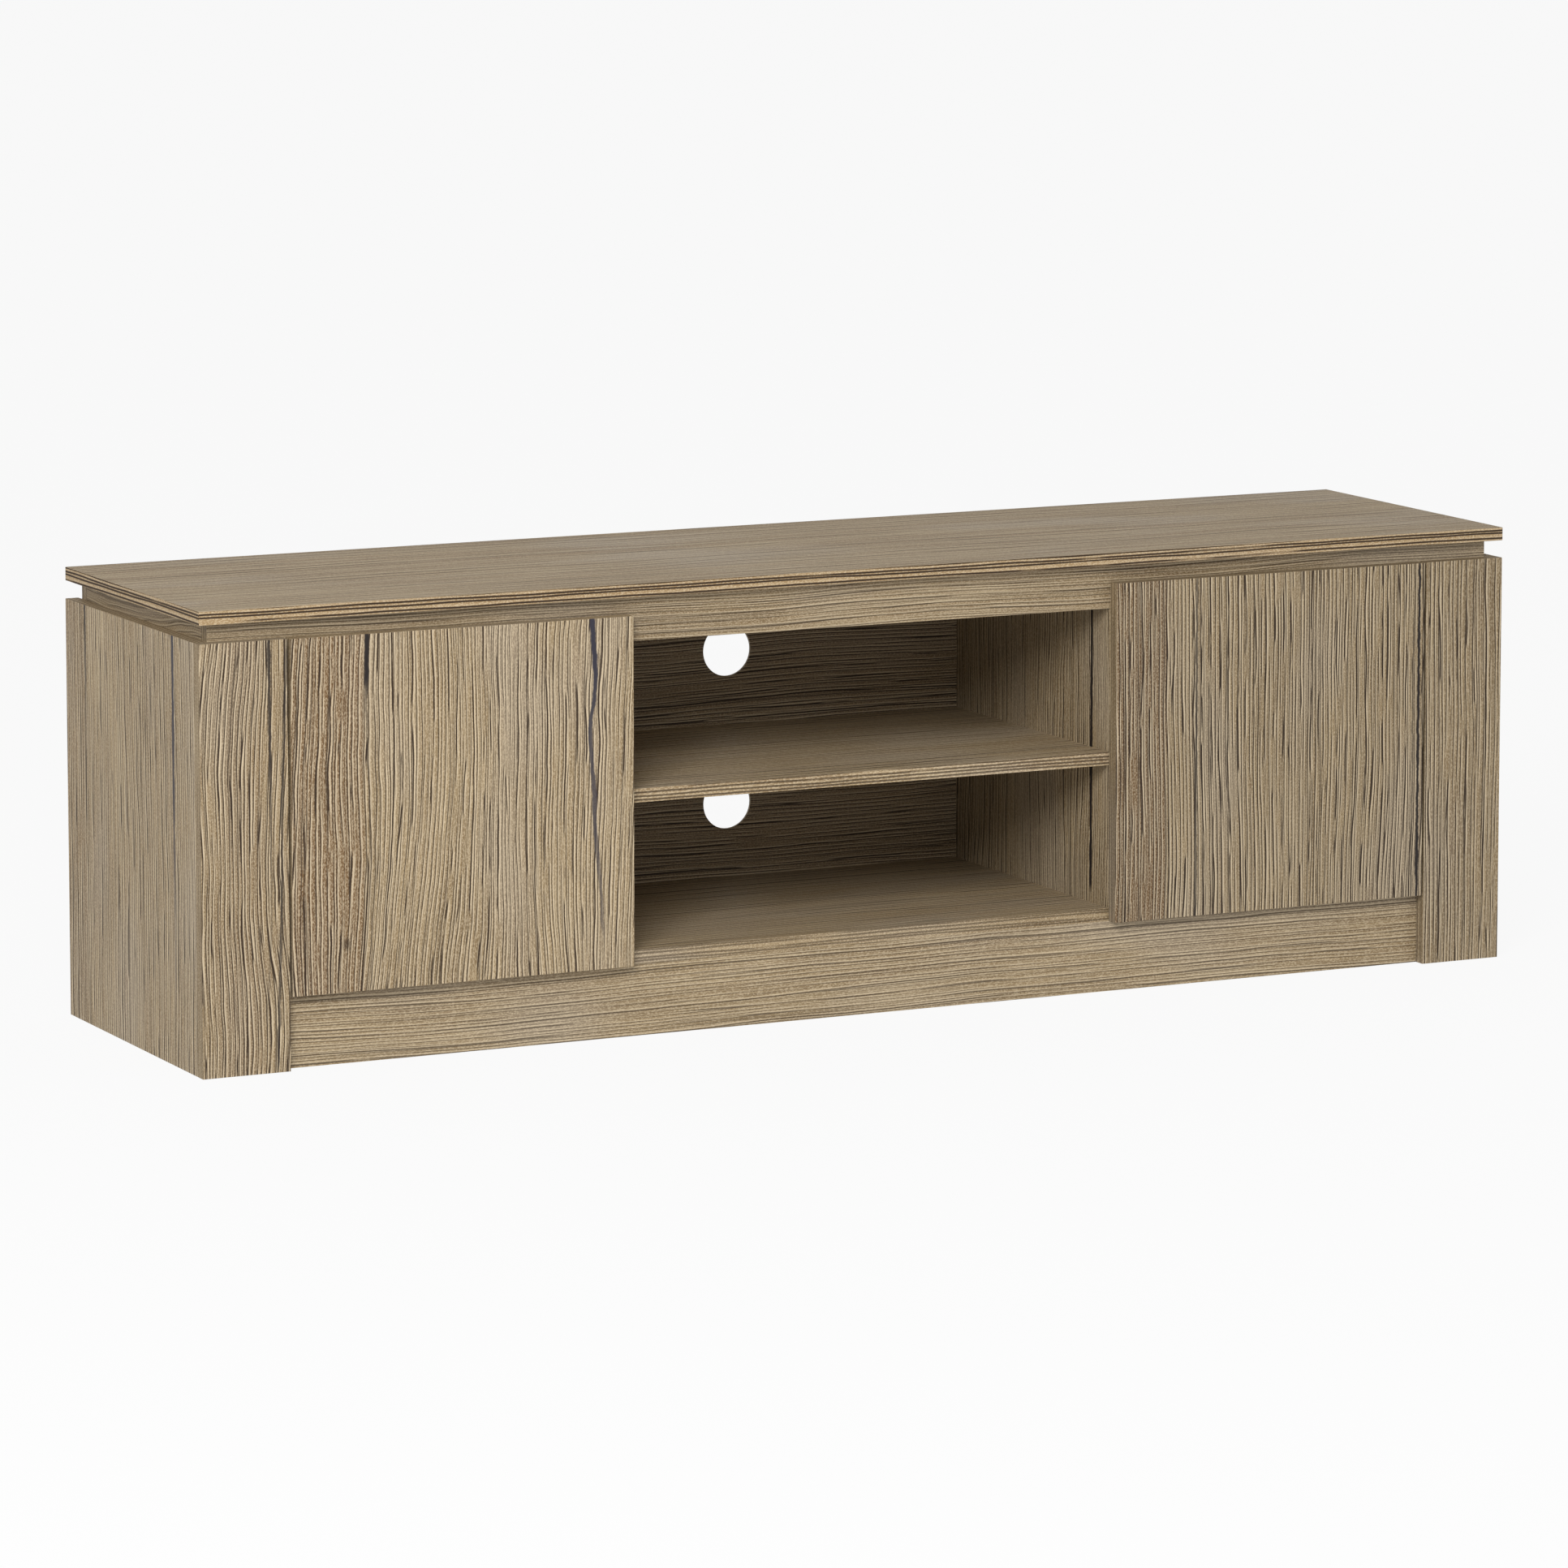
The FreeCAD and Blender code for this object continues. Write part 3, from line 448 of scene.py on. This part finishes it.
    # Painted light and shade together with the board's own tone: one multiplier on the whole
    # board's colour makes lighter and darker copies of the oak.
    if shade_and_tone != 1.0:
        tone = finish.mix(1.0, tone, shade_and_tone, "MULTIPLY")
    if rear_plain:
        normal = finish.axes("Normal")
        fibre = finish.smooth(cloud * FIBRE_CLOUD + streak * FIBRE_STREAK + fleck * FIBRE_FLECK,
                              *FIBRE_STEP)
        tone = finish.mix(finish.smooth(normal[AXIS[face]], *REAR_FACING), tone,
                          finish.mix(fibre, HARDBOARD, FIBRE))
    finish.feed(Base_Color=tone, Specular_IOR_Level=WOOD_SPECULAR,
                Roughness=WOOD_ROUGH - painted_highlight * HIGHLIGHT_POLISH + strong * PORE_ROUGH)
    finish.bump(height, BUMP_STRENGTH, BUMP_DEPTH)
    return finish.material


def crack_mask(finish, u, w, crack, seed):
    """A crack that runs with the grain.

    at is its place across the board, span its two ends, width its half width.
    route and strength are stops along it: its sideways drift about 0.5, and how
    dark it is. depth scales the whole of it.
    """
    low, high = crack["span"]
    share = (w - low) / (high - low)
    jitter = finish.noise(finish.vector(w * JITTER_CELLS + seed, JITTER_LEVEL, 0.0), 3.0, 0.7)
    drift = finish.ramp(share, crack.get("route", STRAIGHT))
    centre = crack["at"] + (drift - 0.5) * CRACK_SWAY + (jitter - 0.5) * CRACK_JITTER
    swell = finish.noise(finish.vector(w * SWELL_CELLS + seed, SWELL_LEVEL, 0.0), 2.0)
    strength = finish.ramp(share, crack.get("strength", FADED_ENDS))
    width = (SWELL_LEAST + swell * SWELL_REACH) * crack["width"] * (
        WEAK_WIDTH + strength * (1 - WEAK_WIDTH))
    line = 1 - finish.smooth(abs(u - centre) / width, *CRACK_RIM)
    return line * strength * crack.get("depth", 1.0)


# --------------------------------------------------------------- other finishes
METAL_CLOUD = 90                # cells to the metre
METAL_SCRATCH = (1500, 300, 120)
METAL_SHADE = 0.86
METAL_BUMP = (0.05, 0.0002)     # strength and depth
SCRATCH_ROUGH = 0.12
BEECH_CELLS = 160
BEECH_DARK = (176, 134, 92)
BEECH_PALE = (214, 178, 132)
BEECH_BUMP = (0.1, 0.0003)
RUBBER_CELLS = 400
RUBBER_DARK = (222, 222, 218)
RUBBER_PALE = (240, 240, 236)


def metal(name, colour, roughness):
    """Plated or cast metal with a faint cloud and fine scratches."""
    finish = Finish(name)
    x, y, z = finish.axes()
    cloud = finish.noise(finish.vector(x * METAL_CLOUD, y * METAL_CLOUD, z * METAL_CLOUD), 3.0)
    along_x, along_y, along_z = METAL_SCRATCH
    scratch = finish.noise(finish.vector(x * along_x, y * along_y, z * along_z), 2.0)
    darker = tuple(channel * METAL_SHADE for channel in colour)
    finish.feed(Base_Color=finish.mix(cloud, darker, colour), Metallic=1.0,
                Roughness=roughness + scratch * SCRATCH_ROUGH)
    finish.bump(scratch, *METAL_BUMP)
    return finish.material


def hardboard(name):
    """The back panels: printed wood inside, bare hardboard behind."""
    return wood(name, "x", "y", 31.0, pores=1.1, shade_and_tone=0.84, rear_plain=True, wave=0.3,
                coarse=0.9, stretch=1.6, planks=[(-1, 1, 0.34)])


def beech(name):
    """Raw beech of the dowels."""
    finish = Finish(name)
    x, y, z = finish.axes()
    grain = finish.noise(
        finish.vector(x * BEECH_CELLS, y * BEECH_CELLS, z * BEECH_CELLS), 4.0, 0.7)
    finish.feed(Base_Color=finish.mix(grain, BEECH_DARK, BEECH_PALE), Roughness=0.7)
    finish.bump(grain, *BEECH_BUMP)
    return finish.material


def clear_rubber(name):
    """Soft pale rubber of the door buffers."""
    finish = Finish(name)
    x, y, z = finish.axes()
    haze = finish.noise(finish.vector(x * RUBBER_CELLS, y * RUBBER_CELLS, z * RUBBER_CELLS), 2.0)
    finish.feed(Base_Color=finish.mix(haze, RUBBER_DARK, RUBBER_PALE), Roughness=0.3 + haze * 0.1)
    return finish.material


def dress(node, material):
    """Give a CAD node its finish."""
    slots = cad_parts[node].data.materials
    for index in range(max(1, len(slots))):
        if index < len(slots):
            slots[index] = material
        else:
            slots.append(material)


# Boards by their edges: cracks, planks and knots are placed from them.
left_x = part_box("door_left")[0][0]
right_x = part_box("door_right")[1][0]
stile_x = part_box("front_stile_left")[0][0]
side_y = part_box("side_panel_left")[0][1]
divider_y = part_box("divider_right")[0][1]
floor_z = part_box("front_stile_left")[0][2]
door_low, door_high = (corner[2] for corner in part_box("door_left"))

FULL_SPAN = (door_low - 0.02, door_high + 0.015)
STILE_SPAN = (floor_z - 0.01, door_high + 0.005)
DOOR_CRACKS_LEFT = [
    {"at": left_x + 0.352, "width": 0.0049, "colour": CRACK_BLUE,
     "span": (door_low + 0.02, door_high + 0.005),
     "route": [(0, 0.78), (0.1, 0.74), (0.42, 0.52), (0.66, 0.4), (0.8, 0.56), (1, 0.47)],
     "strength": [(0, 0), (0.1, 0.55), (0.45, 0.85), (0.9, 1), (1, 1)]},
    {"at": left_x + 0.0865, "width": 0.004, "span": (door_low - 0.01, door_high + 0.002),
     "route": [(0, 0.62), (0.5, 0.58), (0.8, 0.5), (1, 0.53)],
     "strength": [(0, 0.25), (0.6, 0.3), (0.8, 0.5), (0.88, 1), (1, 1)]},
]
DOOR_CRACKS_RIGHT = [
    {"at": right_x - 0.007, "width": 0.003, "span": FULL_SPAN},
    {"at": right_x - 0.014, "width": 0.002, "span": FULL_SPAN, "depth": 0.5},
    {"at": right_x - 0.297, "width": 0.0026, "span": FULL_SPAN, "depth": 0.7},
]
STILE_CRACKS = [
    {"at": stile_x + 0.079, "width": 0.0036, "span": STILE_SPAN,
     "route": [(0, 0.3), (0.4, 0.52), (1, 0.5)], "strength": [(0, 0.1), (0.3, 0.4), (1, 0.9)]},
    {"at": stile_x + 0.094, "width": 0.0028, "span": STILE_SPAN, "depth": 0.7,
     "route": [(0, 0.3), (0.5, 0.45), (1, 0.6)]},
]
SIDE_CRACKS = [
    {"at": side_y + 0.062, "width": 0.006, "colour": CRACK_BLUE,
     "span": (floor_z + 0.02, door_high + 0.015),
     "strength": [(0, 0), (0.2, 0.4), (0.7, 0.9), (1, 1)]},
    {"at": side_y + 0.325, "width": 0.005, "span": (door_low + 0.12, door_high + 0.015),
     "strength": [(0, 0), (0.5, 0.5), (1, 1)]},
]

RAIL_LINES = {"coarse": 0.85, "stretch": 2.5}
SHELF_LINES = {"coarse": 1.4, "wave": 0.4, "bands": 0.3, "stretch": 2.5}
dress("door_left", wood("oak_door_left", "z", "y", 1.3, lean=-0.03, pores=1.1,
                        planks=[(left_x - 0.01, left_x + 0.083, 0.75)], cracks=DOOR_CRACKS_LEFT,
                        knots=[(left_x + 0.062, door_low + 0.052, 0.0045)]))
# Painted shade: the right door is a darker copy of the oak, for the light falling off to the
# right.
dress("door_right", wood("oak_door_right", "z", "y", 17.9, shade_and_tone=0.84, pores=1.3, wave=0.4,
                         planks=[(right_x - 0.41, right_x - 0.335, 0.8)],
                         cracks=DOOR_CRACKS_RIGHT))
dress("front_stile_left", wood("oak_stile_left", "z", "y", 5.1, shade_and_tone=0.95, pores=1.2,
                               cracks=STILE_CRACKS,
                               planks=[(stile_x - 0.01, stile_x + 0.11, 0.15),
                                       (stile_x + 0.03, stile_x + 0.07, 0.3)]))
# Painted shade: the right stile is a darker copy of the oak, for the light falling off to the
# right.
dress("front_stile_right", wood("oak_stile_right", "z", "y", 8.6, shade_and_tone=0.82, pores=1.3, wave=0.4,
                                planks=[(-stile_x - 0.11, -stile_x + 0.01, 0.06)]))
dress("side_panel_left", wood("oak_side_left", "z", "x", 11.2, shade_and_tone=0.97, pores=1.0,
                              coarse=1.3, wave=0.5, bands=0.3, cracks=SIDE_CRACKS,
                              planks=[(side_y + 0.33, side_y + 0.41, 0.3)]))
dress("side_panel_right", wood("oak_side_right", "z", "x", 14.4, pores=1.0, coarse=1.3,
                               wave=0.5, bands=0.3))
dress("divider_left", wood("oak_divider_left", "z", "x", 21.7, shade_and_tone=0.92))
dress("divider_right", wood("oak_divider_right", "z", "x", 24.3, shade_and_tone=0.92,
                            cracks=[{"at": divider_y + 0.042, "width": 0.0055,
                                     "span": (door_low + 0.02, door_high - 0.015)}]))
for index, side in enumerate(("left", "right")):
    dress(f"hinge_post_{side}", wood(f"oak_post_{side}", "z", "x", 41.0 + index))
    dress(f"side_shelf_{side}", wood(f"oak_side_shelf_{side}", "x", "z", 51.0 + index, pores=0.6))
    dress(f"end_rail_{side}", wood(f"oak_end_rail_{side}", "y", "x", 61.0 + index, pores=0.6))
    dress(f"plinth_brace_{side}", wood(f"oak_brace_{side}", "y", "x", 71.0 + index, pores=0.6))
dress("top_panel", wood("oak_top", "x", "z", 2.8, pores=0.6, tint=0.3, shade_and_tone=1.08,
                        coarse=2.2, wave=0.5, edge_pores=1.0, edge_tint=0.7, bands=0.5,
                        stretch=2.5))
dress("bottom_panel", wood("oak_bottom", "x", "z", 6.9, pores=1.0, shade_and_tone=1.0, edge_pores=0.6,
                           **SHELF_LINES))
dress("centre_shelf", wood("oak_shelf", "x", "z", 9.4, pores=1.0, shade_and_tone=1.12, edge_pores=0.8,
                           **SHELF_LINES))
dress("plinth_front", wood("oak_plinth", "x", "y", 12.6, pores=0.8, shade_and_tone=0.93, wave=0.35,
                           **RAIL_LINES))
dress("plinth_rear", wood("oak_plinth_rear", "x", "y", 15.6, pores=0.8, wave=0.35,
                          **RAIL_LINES))
dress("front_rail", wood("oak_rail", "x", "y", 18.2, pores=0.85, shade_and_tone=0.87, wave=0.3,
                         **RAIL_LINES))
dress("rear_rail", wood("oak_rear_rail", "x", "y", 19.2, pores=0.8, wave=0.35,
                        **RAIL_LINES))
back = hardboard("back_board_print")
for node in ("back_panel_left", "back_panel_centre", "back_panel_right"):
    dress(node, back)
NICKEL = metal("nickel_steel", (196, 194, 188), 0.24)
ZINC = metal("zinc_steel", (180, 180, 178), 0.34)
CAST = metal("cast_zinc", (150, 150, 152), 0.45)
RUBBER = clear_rubber("clear_rubber")
for side in ("left", "right"):
    for piece in ("hinge_cups", "hinge_arms", "hinge_plates"):
        dress(f"{piece}_{side}", NICKEL)
    for piece in ("cup_screws", "plate_screws", "arm_adjusters", "shelf_pins"):
        dress(f"{piece}_{side}", ZINC)
    dress(f"door_buffers_{side}", RUBBER)
dress("cam_discs", CAST)
dress("cam_bolts", ZINC)
dress("back_tacks", ZINC)
dress("wood_dowels", beech("beech"))

# ----------------------------------------------------------------------- studio
FLOOR_SIZE = 160
FLOOR_DROP = 0.0005
FLOOR_GREY = 0.05
FLOOR_GLOW = 0.91
SKY_STRENGTH = 0.55


def put_floor():
    bpy.ops.object.select_all(action="DESELECT")
    bpy.ops.mesh.primitive_plane_add(size=FLOOR_SIZE, location=(0, 0, -FLOOR_DROP))
    floor = bpy.context.active_object
    floor.name = "floor"
    finish = Finish("studio_floor")
    finish.feed(Base_Color=as_colour(FLOOR_GREY), Roughness=0.9, Specular_IOR_Level=0.0,
                Emission_Color=(1, 1, 1, 1), Emission_Strength=FLOOR_GLOW)
    floor.data.materials.append(finish.material)


def set_world():
    world = bpy.data.worlds.new("studio")
    world.use_nodes = True
    background = world.node_tree.nodes["Background"]
    background.inputs["Color"].default_value = (1, 1, 1, 1)
    background.inputs["Strength"].default_value = SKY_STRENGTH
    bpy.context.scene.world = world
    bpy.context.scene.view_settings.view_transform = "Standard"


put_floor()
set_world()
